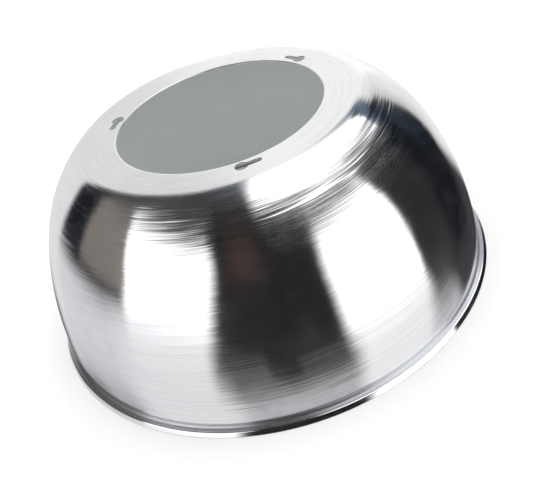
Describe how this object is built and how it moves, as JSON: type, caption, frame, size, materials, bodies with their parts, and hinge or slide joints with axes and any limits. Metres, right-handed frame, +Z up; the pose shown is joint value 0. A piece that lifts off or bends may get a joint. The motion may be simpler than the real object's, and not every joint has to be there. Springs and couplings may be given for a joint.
{
  "type": "heat lamp reflector shade",
  "caption": "Domed metal reflector for a heat lamp: flat top with a round lamp opening and keyhole slots, matte coated inside, with a folded, wired rim.",
  "frame": {"origin": "centre of the rim, on the plane that the rim rests on", "axes": "+Z up the shade's axis, from the rim to the flat top; one keyhole's round end is 2.6 degrees past -Y towards +X"},
  "size_m": [0.34, 0.34, 0.144],
  "materials": {
    "spun_aluminium": "bright, spun, with fine brush lines round the axis",
    "matte_coating": "matte white powder coat",
    "galvanised_steel": "dull galvanised wire"
  },
  "bodies": {
    "root": {"reflector_shell": "spun_aluminium", "inner_coating": "matte_coating", "rim_wire": "galvanised_steel"}
  },
  "joints": []
}
